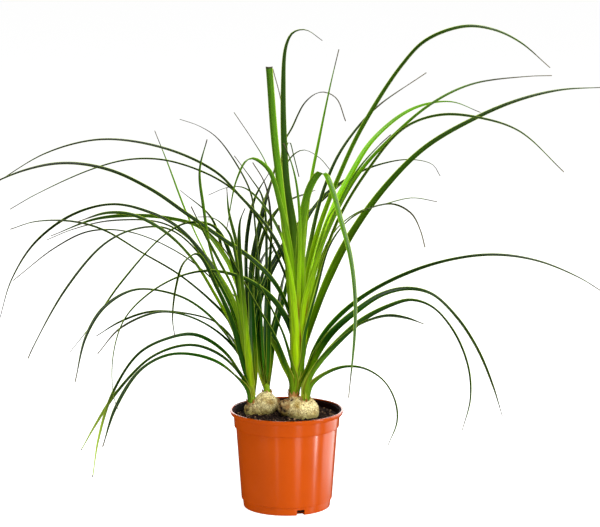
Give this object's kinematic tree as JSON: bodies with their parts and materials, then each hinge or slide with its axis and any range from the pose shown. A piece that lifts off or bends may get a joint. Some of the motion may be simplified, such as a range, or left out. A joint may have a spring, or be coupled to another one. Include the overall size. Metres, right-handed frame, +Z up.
{
  "type": "potted ponytail palm",
  "caption": "Young ponytail palm with corky swollen bulbs and long narrow arching leaves, growing in peat in a plain round plastic nursery pot with a rolled rim.",
  "frame": {"origin": "middle of the pot's foot, where it stands on the table; the pot's axis is the Z axis", "axes": "+Z up along the pot's axis, +X along the plant's widest spread to the right as seen in the picture, +Y away from the viewer"},
  "size_m": [0.659, 0.4895, 0.5094],
  "materials": {
    "pot_plastic": "gloss",
    "peat": "matte",
    "bulb_cork": "matte",
    "leaf": "satin",
    "dry_scale": "matte"
  },
  "bodies": {
    "root": {"pot": "pot_plastic", "soil": "peat", "bulb_left": "bulb_cork", "bulb_right": "bulb_cork", "crown_left": "leaf", "crown_back": "leaf", "crown_middle": "leaf", "crown_right": "leaf", "scales_left": "dry_scale", "scales_back": "dry_scale", "scales_middle": "dry_scale", "scales_right": "dry_scale"}
  },
  "joints": []
}
